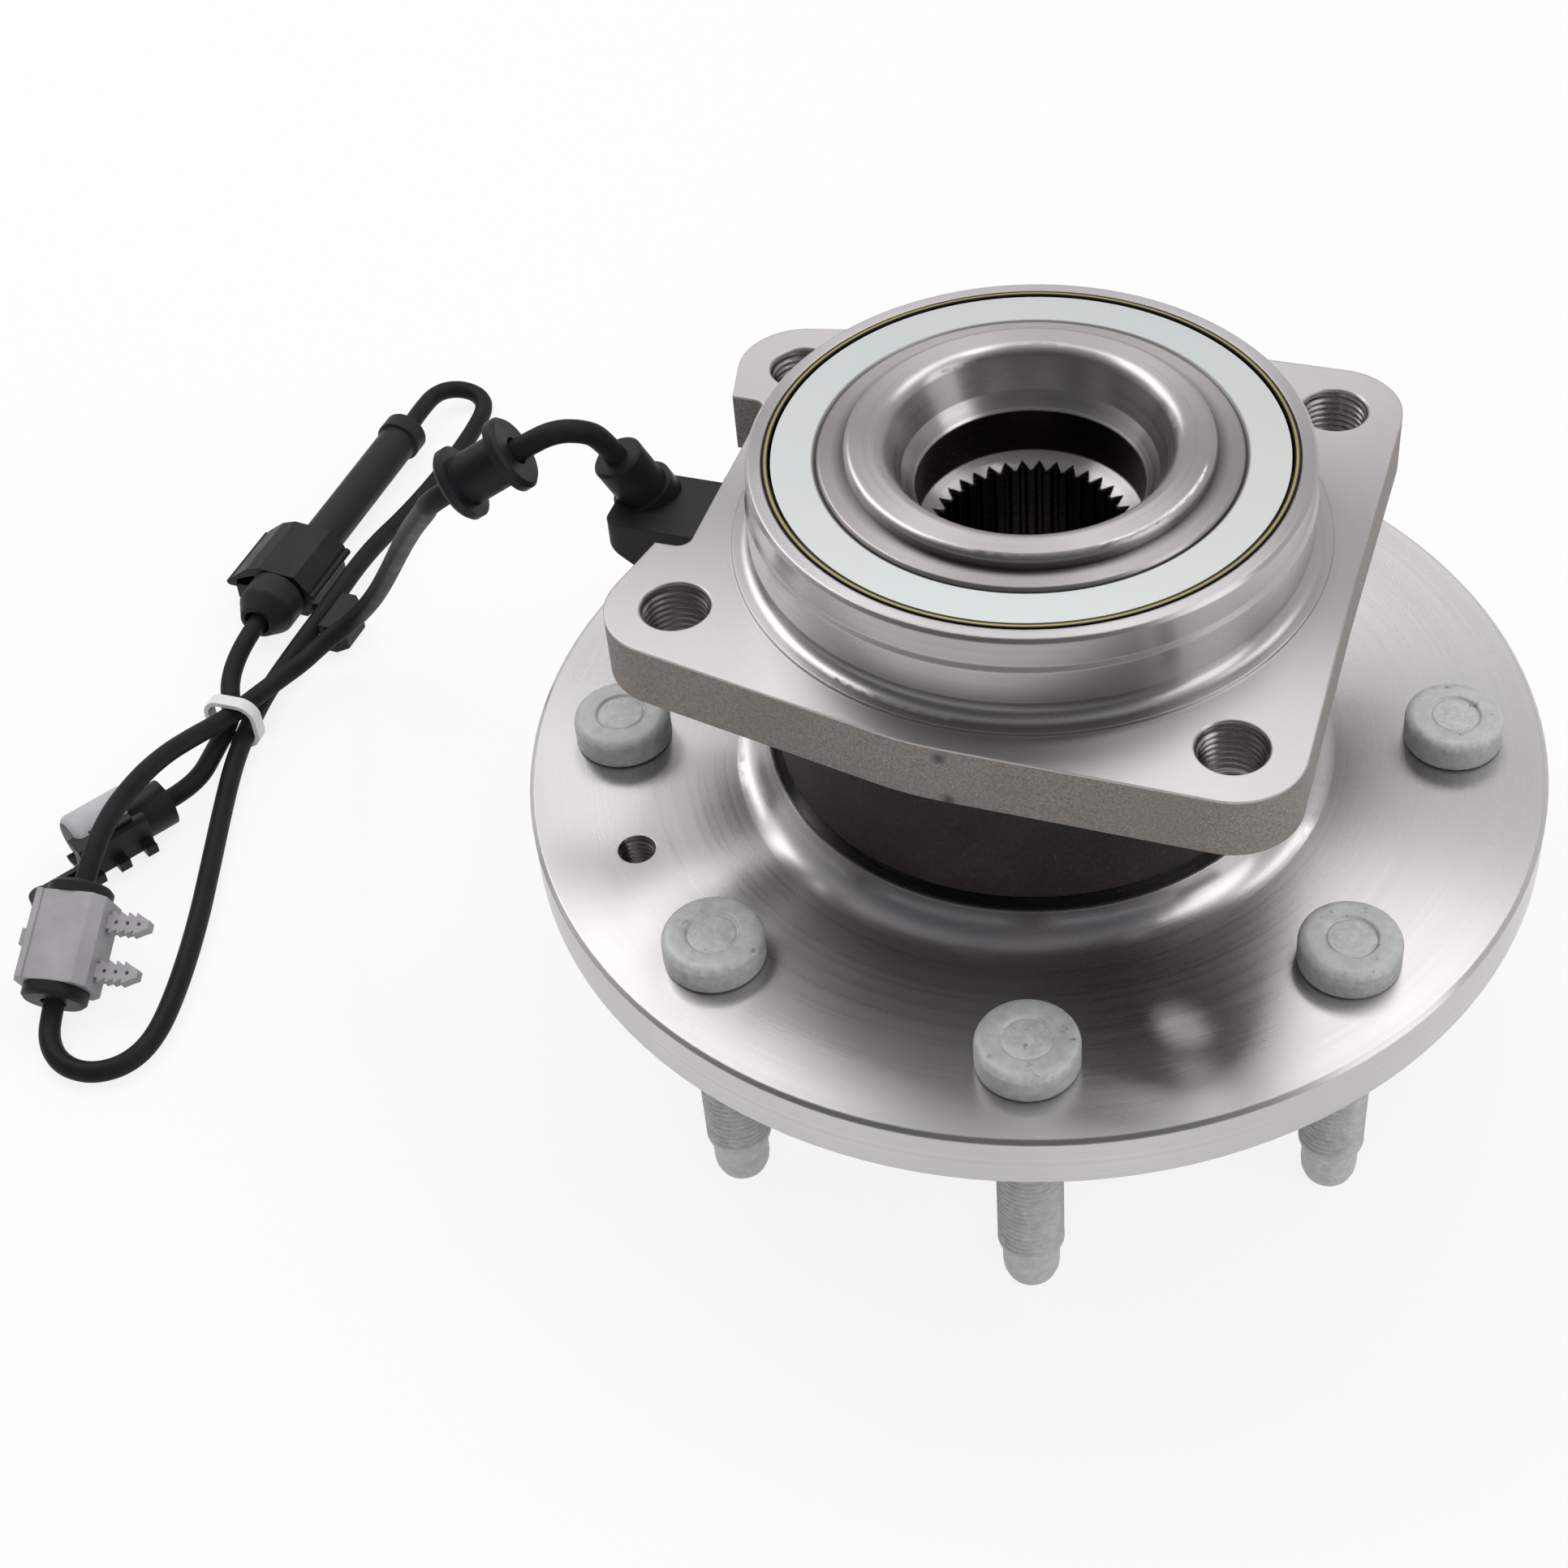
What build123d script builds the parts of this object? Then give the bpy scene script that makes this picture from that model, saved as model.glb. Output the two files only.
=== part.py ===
from build123d import *
import math
import os

# Front wheel hub bearing of a heavy pickup, with its wheel-speed sensor and sensor lead.
# Millimetres. The origin lies on the spin axis at the tips of the wheel studs, +Z points to the
# vehicle (inboard) and the speed sensor is on the -X side.

# Wheel flange and studs
stud_reach = 57.5
wheel_flange_thickness = 13.0
wheel_flange_r = 110.0
wheel_flange_chamfer = 0.9
stud_circle_r = 90.0
stud_count = 8
first_stud_angle = 13.95
stud_thread_r = 7.0
stud_shank_r = 7.3
stud_nose_r = 6.0
stud_nose_length = 12.4
stud_tip_flat_r = 1.6
stud_head_r = 10.5
stud_head_height = 7.0
stud_recess_r = 5.4
stud_recess_depth = 0.45
rotor_screw_r = 4.0

# Wheel pilot and the dished outboard end
rotor_pilot_r = 64.0
rotor_pilot_length = 12.0
wheel_pilot_r = 61.9
wheel_pilot_length = 28.0
pilot_wall = 7.3
nut_seat_r = 33.0
nut_seat_depth = 28.5

# Boss ring round the seal recess
boss_rise = 7.0
boss_inner_r = 57.0
boss_land = 0.8
boss_fillet = 7.2
recess_rise = 2.5
recess_inner_r = 46.0

# Journal, drive bore and rolled lip
shoulder_rise = 8.5
shoulder_r = 40.5
journal_r = 33.0
race_length = 35.7
lip_r = 37.0
lip_height = 2.9
lip_round = 1.4
lip_crown_r = 29.4
funnel_r = 25.8
funnel_depth = 8.0
bore_r = 23.2
bore_cone_depth = 3.4
spline_root_r = 19.86
spline_tip_r = 18.6
spline_teeth = 36
spline_gap_tip = 2.0
spline_gap_root = 0.9
spline_ledge_drop = 20.9

# Tapered roller rows
roller_count = 22
roller_pitch_r = 43.4
roller_axis_angle = 14.5
roller_mid_r = 4.6
roller_length = 17.0
row_offset = 17.0
roller_clearance = 0.12
roller_end_clearance = 0.25
race_rib_r = 42.5
race_neck_r = 36.5
race_small_rib = 0.8
race_small_rib_width = 2.2
cage_thickness = 1.5
cage_lift = 1.3
cage_end = 1.5
pocket_clearance = 0.25

# Outer ring, its knuckle flange and pilot
ring_rise = 8.0
ring_body_r = 55.2
knuckle_flange_rise = 45.4
knuckle_flange_thickness = 14.0
knuckle_hub_r = 66.2
corner_r = 14.3
knuckle_bolt_r = 7.0
knuckle_bolt_chamfer = 0.35
sensor_side_bolt_radius = 74.2
sensor_side_bolt_angle = 33.0
far_side_bolt_radius = 74.2
far_side_bolt_angle = 45.0
knuckle_pilot_length = 20.2
pilot_upper_r = 56.75
pilot_lower_r = 57.3
pilot_upper_length = 6.3
pilot_lower_length = 9.4
pilot_undercut = 1.0
pilot_undercut_bevel = 0.4
pilot_base_width = 3.6
pilot_base_step = 0.6
pilot_base_fillet = 2.8
ring_mid_bore_r = 45.2
inboard_seal_bore_r = 53.5
outboard_seal_bore_r = 51.0
seal_bore_depth = 8.4

# Sensor notch in the knuckle flange and the sensor's flat on the ring
notch_step = 6.0
notch_near_y = -23.0
notch_far_y = 27.0
notch_corner_r = 3.0
seat_depth = 4.8
seat_near_y = -13.0
seat_far_y = 26.0
seat_height = 17.0

# Seals and rings on the bearing ends
fit_gap = 0.02
seal_wall = 0.95
seal_coat = 0.42
seal_length = 7.7
slinger_sleeve_wall = 0.85
slinger_plate = 0.8
slinger_drop = 0.4
slinger_gap = 0.6
seal_lip_gap = 0.2

# Tone ring
tone_ring_r = 43.4
tone_ring_length = 4.6
tone_ring_teeth = 48
tone_ring_tooth_depth = 2.4

# Wheel-speed sensor
sensor_rise = 41.5
probe_r = 4.4
probe_hole_clearance = 0.1
probe_air_gap = 0.9
o_ring_section_r = 0.9
sensor_half_width = 9.5
sensor_bottom_drop = 8.0
sensor_under_flange = 0.4
sensor_top_rise = 8.3
sensor_reach = 31.0
sensor_foot_reach = 17.0
ear_y = 17.0
ear_r = 6.8
ear_thickness = 9.0
screw_thread_r = 2.5
screw_head_r = 4.4
screw_head_height = 4.6
screw_length = 19.0
bushing_r = 3.4
boot_collar_r = 7.0
boot_collar_length = 2.4
boot_r = 5.65
boot_length = 10.5
boot_root_reach = 25.6
boot_root_y = 3.0
boot_root_rise = 49.0
boot_direction = (-0.36, -0.23, 0.905)

# Sensor lead: the cable's own size and the pieces on it
cable_r = 2.5
bore_gap = 0.6
grommet_flange_r = 8.2
grommet_body_r = 5.7
grommet_length = 16.0
grommet_flange_length = 2.6
grommet_from_corner = 10.9
clip_length = 22.0
clip_width = 17.6
clip_height = 14.6
clip_disc_r = 7.7
clip_disc_length = 3.3
clip_strap_height = 7.0
clip_strap_length = 4.0
clip_pin_length = 10.5
clip_pin_core = 1.7
clip_pin_barb = 2.8
clip_pin_thickness = 3.0
clip_pin_barbs = 4
clip_pin_hole_r = 0.45
clip_pin_spacing = 12.0
sleeve_r = 5.4
sleeve_collar_r = 6.3
sleeve_collar_length = 6.0
sleeve_bore_r = 3.6
sleeve_length = 55.0
bracket_length = 21.0
bracket_left = 15.0
bracket_right = 9.6
bracket_rise = 7.6
bracket_drop = 7.3
bracket_wall = 1.7
bracket_bead_r = 1.0
bracket_bore_r = 6.0
bracket_neck_rise = 3.3
bracket_box_width = 6.5
bracket_box_height = 8.6
bracket_box_length = 14.0
bracket_box_ahead = 3.0
bracket_reach = 23.7
bracket_grommet_out = 12.5
bracket_grommet_r = 7.8
tie_width = 3.4
tie_thickness = 1.2
tie_inner_width = 12.0
tie_inner_height = 11.8
tie_corner_r = 4.8
connector_length = 18.5
connector_width = 11.4
connector_height = 10.6
connector_ring_r = 6.1
connector_ring_length = 8.4
gland_length = 8.0
gland_r = 4.7
shell_start = 8.8
shell_length = 16.5
shell_r = 6.7
shell_offset = 3.2
shell_rise = 0.5
shell_wall = 1.3
strap_length = 11.5
strap_width = 5.0
strap_thickness = 3.4
strap_x = 4.3
lug_r = 3.0

# Heights that follow from the sizes above
flange_bottom = stud_reach
flange_top = stud_reach + wheel_flange_thickness
race_start = flange_top + shoulder_rise
race_middle = race_start + race_length
race_end = race_middle + race_length
ring_start = flange_top + ring_rise
knuckle_underside = flange_top + knuckle_flange_rise
knuckle_face = knuckle_underside + knuckle_flange_thickness
rim_top = knuckle_face + knuckle_pilot_length
sensor_z = flange_top + sensor_rise

# Places across the sensor's side that follow from the ring
seat_x = -ring_body_r - seat_depth
notch_floor_x = seat_x - notch_step

# Roller geometry: the roller axis and both tracks meet at one point on the spin axis
axis_angle = math.radians(roller_axis_angle)
pitch_slant = roller_pitch_r / math.sin(axis_angle)
half_taper = math.atan(roller_mid_r / pitch_slant)
row_centre = race_middle + row_offset
row_apex = row_centre - roller_pitch_r / math.tan(axis_angle)
slant_small = pitch_slant - roller_length / 2
slant_large = pitch_slant + roller_length / 2


def turned(*points):
    """Ring or shaft from its (radius, height) outline; a third value rounds that corner."""
    outline = make_face(Polyline(*[(point[0], point[1]) for point in points], close=True))
    for point in points:
        if len(point) == 3:
            corner = outline.vertices().sort_by_distance((point[0], point[1], 0))[0]
            outline = fillet(corner, point[2])
    return revolve(Plane.XZ * outline, Axis.Z)


def slab(width, depth, height, low):
    """Box centred on X and Y, standing on the height low."""
    return Pos(0, 0, low) * Box(width, depth, height, align=(Align.CENTER, Align.CENTER, Align.MIN))


def rod(radius, length, low=0):
    """Cylinder along Z that starts at the height low."""
    return Pos(0, 0, low) * Cylinder(radius, length, align=(Align.CENTER, Align.CENTER, Align.MIN))


def track_point(slant, offset):
    """Radius and height of a point beside the roller axis; a positive offset is outward."""
    radius = slant * math.sin(axis_angle) + offset * math.cos(axis_angle)
    height = row_apex + slant * math.cos(axis_angle) - offset * math.sin(axis_angle)
    return radius, height


def roller_radius(slant):
    """Radius of a roller at this distance from the common apex."""
    return slant * math.tan(half_taper)


def bearing_side(part):
    """The outboard twin of an inboard bearing part."""
    return mirror(part, about=Plane.XY.offset(race_middle))


def stud_angles():
    """Angle of each wheel stud round the spin axis."""
    return [first_stud_angle + 360 / stud_count * index for index in range(stud_count)]


def polar(radius, angle):
    """Point at this radius and angle in degrees."""
    return radius * math.cos(math.radians(angle)), radius * math.sin(math.radians(angle))


# The screw hole for the brake rotor lies midway between two studs
rotor_screw_angle = first_stud_angle + 360 / stud_count * 4.5


def knuckle_holes():
    """Centres of the four bolts that hold the knuckle: two each side of the sensor, two opposite."""
    near = [polar(sensor_side_bolt_radius, 180 + side * sensor_side_bolt_angle) for side in (-1, 1)]
    far = [polar(far_side_bolt_radius, side * far_side_bolt_angle) for side in (-1, 1)]
    return near + far


def spline_cutter():
    """Toothed prism that leaves the internal spline in the drive bore."""
    gap = make_face(Polyline(
        (spline_tip_r - 0.6, -spline_gap_tip / 2),
        (spline_root_r, -spline_gap_root / 2),
        (spline_root_r, spline_gap_root / 2),
        (spline_tip_r - 0.6, spline_gap_tip / 2),
        close=True,
    ))
    outline = Circle(spline_tip_r)
    for index in range(spline_teeth):
        outline += Rot(0, 0, 360 / spline_teeth * index) * gap
    ledge = race_end - spline_ledge_drop
    length = ledge - (flange_bottom - wheel_pilot_length + nut_seat_depth)
    return Pos(0, 0, ledge - length - 1) * extrude(outline, amount=length + 2)


def hub_spindle():
    """Wheel flange, boss ring, pilot, journal and splined drive bore, forged in one."""
    pilot_end = flange_bottom - wheel_pilot_length
    nut_seat = pilot_end + nut_seat_depth
    ledge = race_end - spline_ledge_drop
    lip_top = race_end + lip_height
    cone_top = lip_top - funnel_depth
    boss_top = flange_top + boss_rise
    boss_outer_r = boss_inner_r + boss_land + boss_fillet
    body = turned(
        (spline_root_r - 2, nut_seat),
        (nut_seat_r, nut_seat),
        (nut_seat_r + 3, nut_seat - 4, 4),
        (wheel_pilot_r - pilot_wall - 3, pilot_end + 12, 8),
        (wheel_pilot_r - pilot_wall, pilot_end),
        (wheel_pilot_r - 2, pilot_end),
        (wheel_pilot_r, pilot_end + 4),
        (wheel_pilot_r, flange_bottom - rotor_pilot_length - 0.5),
        (rotor_pilot_r, flange_bottom - rotor_pilot_length),
        (rotor_pilot_r, flange_bottom),
        (wheel_flange_r - wheel_flange_chamfer, flange_bottom),
        (wheel_flange_r, flange_bottom + wheel_flange_chamfer),
        (wheel_flange_r, flange_top - wheel_flange_chamfer),
        (wheel_flange_r - wheel_flange_chamfer, flange_top),
        (boss_outer_r - boss_fillet, flange_top, boss_fillet - 0.2),
        (boss_outer_r - boss_fillet, boss_top),
        (boss_inner_r, boss_top),
        (boss_inner_r, flange_top + recess_rise),
        (recess_inner_r, flange_top + recess_rise),
        (shoulder_r, race_start - 3),
        (shoulder_r, race_start),
        (journal_r, race_start),
        (journal_r, race_end),
        (lip_r, race_end),
        (lip_r, lip_top, lip_round),
        (lip_crown_r, lip_top, 3),
        (funnel_r, cone_top),
        (bore_r, cone_top - bore_cone_depth),
        (bore_r, ledge),
        (spline_root_r - 2, ledge),
    )
    body -= spline_cutter()
    for angle in stud_angles():
        body -= Pos(*polar(stud_circle_r, angle), flange_bottom) * rod(stud_shank_r, wheel_flange_thickness)
    screw_place = Pos(*polar(stud_circle_r, rotor_screw_angle), flange_bottom)
    body -= screw_place * rod(rotor_screw_r, wheel_flange_thickness)
    return body


def wheel_studs():
    """Eight pressed-in studs, head inboard and nose outboard."""
    shank_r = stud_shank_r - fit_gap
    stud = turned(
        (0, 0),
        (stud_tip_flat_r, 0),
        (stud_nose_r, 5.0, 6),
        (stud_nose_r, stud_nose_length),
        (stud_thread_r, stud_nose_length + 1),
        (stud_thread_r, flange_bottom),
        (shank_r, flange_bottom + 0.3),
        (shank_r, flange_top),
        (stud_head_r - 0.6, flange_top),
        (stud_head_r, flange_top + 0.6),
        (stud_head_r, flange_top + stud_head_height, 1.6),
        (stud_recess_r, flange_top + stud_head_height),
        (stud_recess_r - 0.3, flange_top + stud_head_height - stud_recess_depth),
        (0, flange_top + stud_head_height - stud_recess_depth),
    )
    return Compound([Pos(*polar(stud_circle_r, angle), 0) * stud for angle in stud_angles()])


def inner_race():
    """Inboard inner ring: tapered track between a small rib and the large guide rib."""
    bore = journal_r + fit_gap
    small = track_point(slant_small - roller_end_clearance, 0)
    track_small = track_point(slant_small - roller_end_clearance, -roller_radius(slant_small) - roller_clearance)
    track_large = track_point(slant_large + roller_end_clearance, -roller_radius(slant_large) - roller_clearance)
    rib_rise = (race_rib_r - track_large[0]) * math.tan(axis_angle)
    small_rib_r = track_small[0] + race_small_rib
    return turned(
        (bore, race_middle),
        (race_neck_r, race_middle),
        (race_neck_r, small[1] - race_small_rib_width),
        (small_rib_r, small[1] - race_small_rib_width),
        (small_rib_r, track_small[1]),
        track_small,
        track_large,
        (race_rib_r, track_large[1] - rib_rise),
        (race_rib_r, race_end - 0.5),
        (race_rib_r - 0.5, race_end),
        (bore + 1, race_end),
        (bore, race_end - 1),
    )


def place_rollers(shape):
    """Copies of an upright roller-shaped solid, leant into the row and spread round the axis."""
    leant = Pos(roller_pitch_r, 0, row_centre) * Rot(0, roller_axis_angle, 0) * shape
    return [Rot(0, 0, 360 / roller_count * index) * leant for index in range(roller_count)]


def rollers():
    """The row of tapered rollers, large ends inboard."""
    roller = Cone(roller_radius(slant_small), roller_radius(slant_large), roller_length)
    return Compound(place_rollers(roller))


def cage():
    """Stamped conical cage with one pocket for each roller."""
    inner = cage_lift - cage_thickness / 2
    outer = cage_lift + cage_thickness / 2
    start = slant_small - roller_end_clearance - cage_end
    stop = slant_large + roller_end_clearance + cage_end
    shell = turned(
        track_point(start, inner),
        track_point(stop, inner),
        track_point(stop, outer),
        track_point(start, outer),
    )
    pocket = Cone(
        roller_radius(slant_small) + pocket_clearance,
        roller_radius(slant_large) + pocket_clearance,
        roller_length + 2 * pocket_clearance,
    )
    for cutter in place_rollers(pocket):
        shell -= cutter
    return shell


def tone_ring():
    """Toothed ring on the neck of the outboard inner ring, read by the sensor."""
    bore = race_neck_r + fit_gap
    low = sensor_z - tone_ring_length / 2
    high = low + tone_ring_length
    ring = turned(
        (bore, low),
        (tone_ring_r, low),
        (tone_ring_r, high),
        (bore, high),
    )
    gap = math.pi * tone_ring_r / tone_ring_teeth
    slot = Pos(tone_ring_r, 0, low) * Box(
        2 * tone_ring_tooth_depth, gap, tone_ring_length, align=(Align.CENTER, Align.CENTER, Align.MIN)
    )
    for index in range(tone_ring_teeth):
        ring -= Rot(0, 0, 360 / tone_ring_teeth * index) * slot
    return ring


def slinger(bore_r):
    """Ring that turns in front of the inboard seal, pressed on the guide rib."""
    inner = race_rib_r + fit_gap
    sleeve = inner + slinger_sleeve_wall
    top = race_end - slinger_drop
    rim = bore_r - seal_coat - seal_wall - slinger_gap
    return turned(
        (inner, race_end - seal_length),
        (sleeve, race_end - seal_length),
        (sleeve, top - slinger_plate),
        (rim, top - slinger_plate),
        (rim, top),
        (sleeve, top),
        (inner, top - slinger_plate),
    )


def seal_case(bore_r):
    """Steel case of a seal: a rim in the ring's bore and a web towards the shaft."""
    rim = bore_r - seal_coat
    inner = rim - seal_wall
    web = race_rib_r + 3
    low = race_end - seal_length
    return turned(
        (web, low),
        (rim, low),
        (rim, race_end - 0.1),
        (inner, race_end - 0.1),
        (inner, low + 0.8),
        (web, low + 0.8),
    )


def seal_lip(bore_r):
    """Rubber bonded round the case, with one lip on the slinger's sleeve and one on its plate."""
    rim = bore_r - seal_coat
    coat = bore_r - fit_gap
    web = race_rib_r + 3
    low = race_end - seal_length
    sleeve = race_rib_r + fit_gap + slinger_sleeve_wall
    plate = race_end - slinger_drop - slinger_plate
    tip_r = (sleeve + rim) / 2 + 0.6
    return turned(
        (coat, race_end - 0.5),
        (rim, race_end - 0.5),
        (rim, low),
        (web, low),
        (web, low + 0.8),
        (web + 0.9, low + 0.8),
        (tip_r + 0.6, plate - seal_lip_gap - 0.1),
        (tip_r, plate - seal_lip_gap),
        (web + 0.1, low + 1.6),
        (web - 0.8, low + 1.9),
        (sleeve + seal_lip_gap, low + 3.2),
        (sleeve + seal_lip_gap, low + 2.6),
        (web - 1.2, low + 0.6),
        (web - 1.2, low - 0.5),
        (coat, low - 0.5),
    )


def knuckle_outline():
    """Four-cornered flange outline, each corner a boss round its bolt hole."""
    hub = Circle(knuckle_hub_r)
    outline = hub
    for centre in knuckle_holes():
        boss = Pos(*centre) * Circle(corner_r)
        outline += make_hull(hub.edges() + boss.edges())
    notch_width = 40.0
    notch_length = notch_far_y - notch_near_y
    notch = Pos(notch_floor_x - notch_width / 2, (notch_near_y + notch_far_y) / 2) * RectangleRounded(
        notch_width, notch_length, notch_corner_r
    )
    return outline - notch


def sensor_seat():
    """Flat pad on the ring's body where the sensor lands."""
    width = seat_far_y - seat_near_y
    depth = -seat_x - ring_body_r / 2
    pad = Pos(seat_x + depth / 2, (seat_far_y + seat_near_y) / 2, knuckle_underside - seat_height / 2)
    return pad * Box(depth, width, seat_height)


def outer_ring():
    """Stationary ring: seal bores, both tapered tracks, body, knuckle flange and knuckle pilot."""
    cup_small = track_point(slant_small - 1, roller_radius(slant_small - 1) + roller_clearance)
    cup_large = track_point(slant_large + 1.2, roller_radius(slant_large + 1.2) + roller_clearance)
    seal_in = race_end - seal_bore_depth
    seal_out = 2 * race_middle - seal_in
    upper_end = rim_top - pilot_upper_length
    lower_end = upper_end - pilot_lower_length
    base_top = knuckle_face + pilot_base_step
    pilot_base_r = pilot_lower_r + pilot_base_width
    ring = turned(
        (outboard_seal_bore_r + 0.5, ring_start),
        (ring_body_r - 0.7, ring_start),
        (ring_body_r, ring_start + 0.7),
        (ring_body_r, knuckle_underside + 1),
        (pilot_base_r, knuckle_underside + 1),
        (pilot_base_r, base_top),
        (pilot_lower_r - pilot_undercut, base_top, pilot_base_fillet),
        (pilot_lower_r - pilot_undercut, lower_end),
        (pilot_lower_r, lower_end + pilot_undercut_bevel),
        (pilot_lower_r, upper_end - 1.2),
        (pilot_upper_r, upper_end),
        (pilot_upper_r, rim_top - 0.75),
        (pilot_upper_r - 0.75, rim_top),
        (inboard_seal_bore_r, rim_top),
        (inboard_seal_bore_r, seal_in),
        (cup_large[0] + 0.4, seal_in),
        cup_large,
        cup_small,
        (ring_mid_bore_r, cup_small[1]),
        (ring_mid_bore_r, 2 * race_middle - cup_small[1]),
        (cup_small[0], 2 * race_middle - cup_small[1]),
        (cup_large[0], 2 * race_middle - cup_large[1]),
        (cup_large[0] + 0.2, seal_out),
        (outboard_seal_bore_r, seal_out),
        (outboard_seal_bore_r, ring_start + 0.5),
    )
    plate = Pos(0, 0, knuckle_underside) * extrude(knuckle_outline(), amount=knuckle_flange_thickness)
    core = rod(ring_mid_bore_r + 5, 2 * race_length, race_start)
    body = ring + (plate + sensor_seat() - core)
    for centre in knuckle_holes():
        hole = Pos(*centre, knuckle_underside)
        body -= hole * rod(knuckle_bolt_r, knuckle_flange_thickness)
        chamfer_cone = Cone(
            knuckle_bolt_r, knuckle_bolt_r + knuckle_bolt_chamfer, knuckle_bolt_chamfer,
            align=(Align.CENTER, Align.CENTER, Align.MIN),
        )
        body -= hole * Pos(0, 0, knuckle_flange_thickness - knuckle_bolt_chamfer) * chamfer_cone
    body -= along_sensor(0, seat_x - 1, -ring_mid_bore_r + 3, probe_r + probe_hole_clearance)
    body -= along_sensor(0, seat_x - 1, seat_x + 3, probe_r + 2 * o_ring_section_r)
    body -= along_sensor(ear_y, seat_x - 1, seat_x - 1 + screw_length - ear_thickness + 1, screw_thread_r)
    return body


def along_sensor(y, x_from, x_to, radius):
    """Cylinder along X at the sensor's height, between two places on the -X side."""
    place = Pos(x_from, y, sensor_z) * Rot(0, 90, 0)
    return place * rod(radius, x_to - x_from)


def sensor_body():
    """Moulded sensor housing: probe, block under the flange, collar for the cable and screw ear."""
    low = sensor_z - sensor_bottom_drop
    under = knuckle_underside - sensor_under_flange
    top = sensor_z + sensor_top_rise
    notch_x = notch_floor_x - 0.4
    profile = make_face(Polyline(
        (seat_x, low),
        (seat_x - sensor_foot_reach, low),
        (seat_x - sensor_reach, top - 6),
        (seat_x - sensor_reach, top),
        (notch_x, top),
        (notch_x, under),
        (seat_x, under),
        close=True,
    ))
    block = Pos(0, sensor_half_width, 0) * extrude(Plane.XZ * profile, amount=2 * sensor_half_width)
    upright = block.edges().filter_by(Axis.Z).sort_by(Axis.X)[:2]
    block = fillet(upright, 3)
    ear = Pos(seat_x - ear_thickness, ear_y, sensor_z) * Rot(0, 90, 0) * rod(ear_r, ear_thickness)
    ear -= Pos(seat_x, ear_y, 0) * slab(4 * ear_r, 4 * ear_r, 2 * ear_r, under)
    web = Pos(seat_x - ear_thickness / 2, ear_y / 2, sensor_z) * Box(ear_thickness, ear_y, under - sensor_z)
    probe_tip = -(tone_ring_r + probe_air_gap)
    probe = along_sensor(0, seat_x, probe_tip, probe_r)
    groove = along_sensor(0, seat_x + 0.5, seat_x + 0.5 + 2.2 * o_ring_section_r, probe_r + 1)
    groove -= along_sensor(0, seat_x + 0.5, seat_x + 0.5 + 2.2 * o_ring_section_r, probe_r - o_ring_section_r)
    collar = boot_plane() * rod(boot_collar_r, boot_collar_length + 4, -4)
    body = block + ear + web + probe + collar
    body -= boot_plane() * rod(boot_r + fit_gap, boot_collar_length + boot_length)
    body -= along_sensor(ear_y, seat_x - ear_thickness, seat_x, bushing_r)
    return body - groove


# Where the cable leaves the sensor's housing
boot_root = Vector(seat_x - boot_root_reach, boot_root_y, flange_top + boot_root_rise)


def boot_plane():
    """Local frame of the cable outlet, its Z along the cable."""
    return Plane(origin=boot_root, x_dir=(0, 1, 0), z_dir=Vector(*boot_direction)).location


def sensor_boot():
    """Strain relief moulded over the cable, standing in the housing's collar."""
    length = boot_collar_length + boot_length
    boot = turned(
        (0, 0),
        (boot_r, 0),
        (boot_r, length - 0.6),
        (boot_r - 0.6, length),
        (0, length),
    )
    return boot_plane() * boot


def sensor_o_ring():
    """Rubber ring that seals the probe in its hole."""
    middle = seat_x + 0.5 + 1.1 * o_ring_section_r
    ring = Torus(probe_r + fit_gap, o_ring_section_r - fit_gap)
    return Pos(middle, 0, sensor_z) * Rot(0, 90, 0) * ring


def sensor_bushing():
    """Metal sleeve in the ear that takes the screw's clamping force."""
    sleeve = along_sensor(ear_y, seat_x - ear_thickness, seat_x, bushing_r - fit_gap)
    return sleeve - along_sensor(ear_y, seat_x - ear_thickness - 1, seat_x + 1, screw_thread_r + fit_gap)


def sensor_screw():
    """Screw with a round flanged head and a hexagon socket."""
    head_start = seat_x - ear_thickness
    screw = turned(
        (0, -screw_head_height),
        (screw_head_r - 1.4, -screw_head_height),
        (screw_head_r, -screw_head_height + 1.4),
        (screw_head_r, 0),
        (screw_thread_r - fit_gap, 0),
        (screw_thread_r - fit_gap, screw_length - 2),
        (0, screw_length - 2),
    )
    socket = Pos(0, 0, -screw_head_height) * extrude(RegularPolygon(2.3, 6), amount=2.4)
    return Pos(head_start, ear_y, sensor_z) * Rot(0, 90, 0) * (screw - socket)


# Sensor lead. The route runs from the sensor's boot down to the surface that the studs stand on,
# over the bundle, through the grey clip, round a loop, back through the bundle to a hairpin,
# and through the sleeve and bracket to the connector.
boot_axis = Vector(*boot_direction).normalized()
boot_end = boot_root + boot_axis * (boot_collar_length + boot_length)
floor_z = cable_r + 0.1

falling = [
    tuple(boot_end + boot_axis * 6.2),
    (-95.1, -3.7, 139.8),
    (-99.5, -7.4, 141.8),
    (-104.5, -10.9, 140.2),
    (-125.2, -19.5, 127.5),
    (-131.6, -11.2, 117.2),
    (-145.2, 4.8, 97.4),
    (-160.6, 22.5, 73.6),
    (-175.4, 37.8, 49.6),
    (-186.6, 47.2, 31.8),
    (-195.1, 52.8, 19.8),
    (-200.7, 52.6, 13.6),
    (-206.2, 46.4, 10.6),
    (-208.4, 39.6, 9.9),
    (-212.1, 31.7, 9.6),
    (-215.3, 23.7, 9.5),
    (-218.2, 14.5, 10.2),
    (-220.6, 4.0, 13.8),
    (-221.6, -8.0, 18.4),
    (-222.3, -19.5, 20.8),
    (-222.6, -33.0, 21.4),
]
clip_start = Vector(-219.9, -52.3, 17.3)
clip_axis = Vector(0.129, -0.911, -0.391).normalized()
clip_lead_in = 5.6
clip_lead_out = 3.6
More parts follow.
